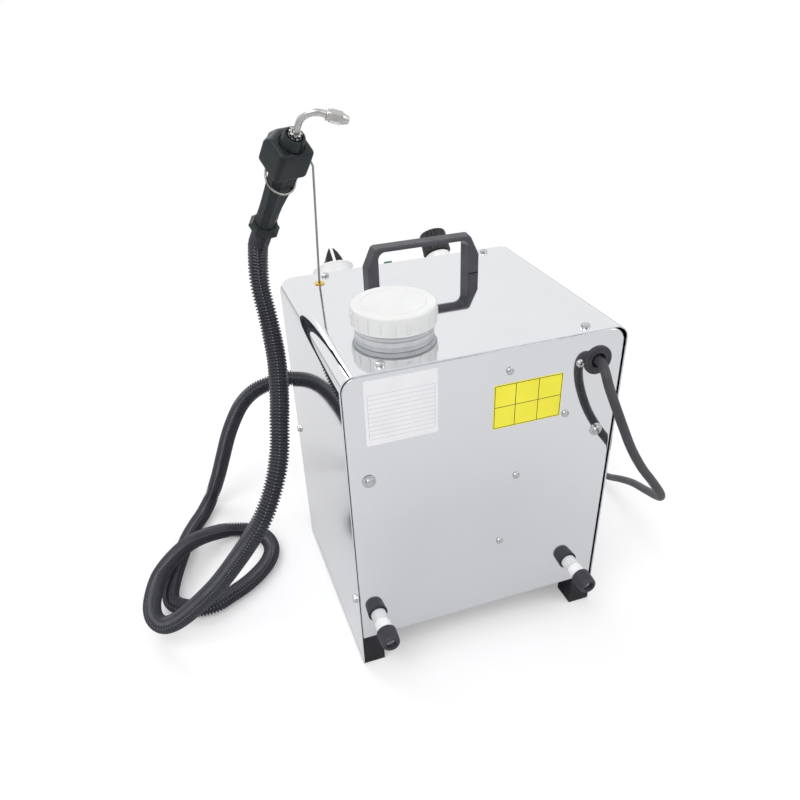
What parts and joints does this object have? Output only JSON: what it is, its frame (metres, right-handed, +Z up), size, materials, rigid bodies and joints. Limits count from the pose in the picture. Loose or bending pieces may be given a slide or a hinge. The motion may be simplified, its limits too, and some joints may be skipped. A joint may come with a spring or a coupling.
{
  "type": "dry steam cleaner",
  "caption": "Bench-top dry steam cleaner: stainless cabinet with carry handle, filler cap, steam knob, rear posts, and a steam handpiece on a ribbed hose hung in a wire ring.",
  "frame": {"origin": "on the floor under the middle of the object, measured without the hose and the mains cord", "axes": "+Z up, +Y towards the rear panel with the cord, +X towards the side where the handpiece hangs"},
  "size_m": [0.6682, 0.5855, 0.5642],
  "materials": {
    "stainless": "mirror-polished stainless sheet",
    "tray_steel": "plain sheet",
    "black_plastic": "matt",
    "knob_plastic": "matt, fluted",
    "handle_plastic": "matt",
    "grip_plastic": "fine grain",
    "steel_screws": "bright",
    "yellow_film": "satin film",
    "white_film": "satin film",
    "cord_rubber": "matt",
    "pin_metal": "bright",
    "white_plastic": "satin",
    "brass": "turned",
    "wire": "drawn wire",
    "chrome": "polished",
    "hose_plastic": "ribbed",
    "tank_plastic": "translucent",
    "seal_rubber": "soft",
    "boiler_steel": "brushed",
    "device_plastic": "matt",
    "feed_plastic": "soft",
    "copper": "drawn copper",
    "green_plastic": "gloss",
    "board": "coated board"
  },
  "bodies": {
    "cabinet": {"main_cover": "stainless", "rear_panel": "stainless", "front_panel": "stainless", "control_console": "stainless", "base_tray": "tray_steel", "boiler_stand": "tray_steel", "feet": "black_plastic", "cord_gland": "black_plastic", "post_caps": "black_plastic", "rocker_bezel": "black_plastic", "hose_outlet": "black_plastic", "carry_handle": "handle_plastic", "foot_screws": "steel_screws", "handle_screws": "steel_screws", "cover_screws": "steel_screws", "panel_screws": "steel_screws", "washer_screws": "steel_screws", "post_bolts": "steel_screws", "yellow_plate": "yellow_film", "white_plate": "white_film", "mains_cord": "cord_rubber", "mains_coil": "cord_rubber", "mains_plug": "cord_rubber", "plug_pins": "pin_metal", "post_sleeves": "white_plastic", "knob_collar": "white_plastic", "holder_bush": "brass", "safety_valve": "brass", "solenoid_valve": "brass", "steam_valve": "brass", "holder_rod": "wire", "steam_hose": "hose_plastic", "water_tank": "tank_plastic", "boiler_shell": "boiler_steel", "heating_element": "boiler_steel", "pressure_switch": "device_plastic", "water_pump": "device_plastic", "selector_switch": "device_plastic", "feed_pipe": "feed_plastic", "pump_pipe": "copper", "steam_pipe": "copper", "outlet_pipe": "copper", "control_board": "board"},
    "handpiece": {"handpiece_head": "grip_plastic", "grip_left": "grip_plastic", "grip_right": "grip_plastic", "grip_collar": "grip_plastic", "nozzle_nut": "chrome", "nozzle_tube": "chrome", "nozzle_tip": "chrome", "handpiece_switch": "device_plastic"},
    "steam_button": {"handpiece_button": "grip_plastic"},
    "cap_seal": {"cap_liner": "seal_rubber"},
    "cap": {"tank_cap": "white_plastic"},
    "steam_dial": {"steam_knob": "knob_plastic"},
    "selector": {"selector_skirt": "white_plastic", "selector_grip": "knob_plastic"},
    "rocker_key": {"rocker": "green_plastic"}
  },
  "joints": [
    {"name": "handpiece_lift", "type": "slide", "parent": "cabinet", "child": "handpiece", "axis": [-0.2306, 0.5708, 0.788], "range_m": [0, 0.055]},
    {"name": "steam_button_press", "type": "slide", "parent": "handpiece", "child": "steam_button", "axis": [-0.2952, 0.7306, -0.6157], "range_m": [0, 0.002], "stiffness_N_per_m": 800},
    {"name": "cap_lift", "type": "slide", "parent": "cabinet", "child": "cap_seal", "axis": [0, 0, 1], "range_m": [0, 0.1]},
    {"name": "cap_turn", "type": "hinge", "parent": "cap_seal", "child": "cap", "pos_m": [0.0539, 0.07485, 0.388], "axis": [0, 0, 1], "range_deg": [0, 360]},
    {"name": "steam_knob_turn", "type": "hinge", "parent": "cabinet", "child": "steam_dial", "pos_m": [-0.0792, -0.14276, 0.3461], "axis": [0, -0.6691, 0.7431], "range_deg": [0, 270]},
    {"name": "selector_turn", "type": "hinge", "parent": "cabinet", "child": "selector", "pos_m": [0.0554, -0.14722, 0.34208], "axis": [0, -0.6691, 0.7431], "range_deg": [-90, 180]},
    {"name": "rocker_tilt", "type": "hinge", "parent": "cabinet", "child": "rocker_key", "pos_m": [-0.0026, -0.11704, 0.35579], "axis": [1, 0, 0], "range_deg": [-14, 0]}
  ]
}
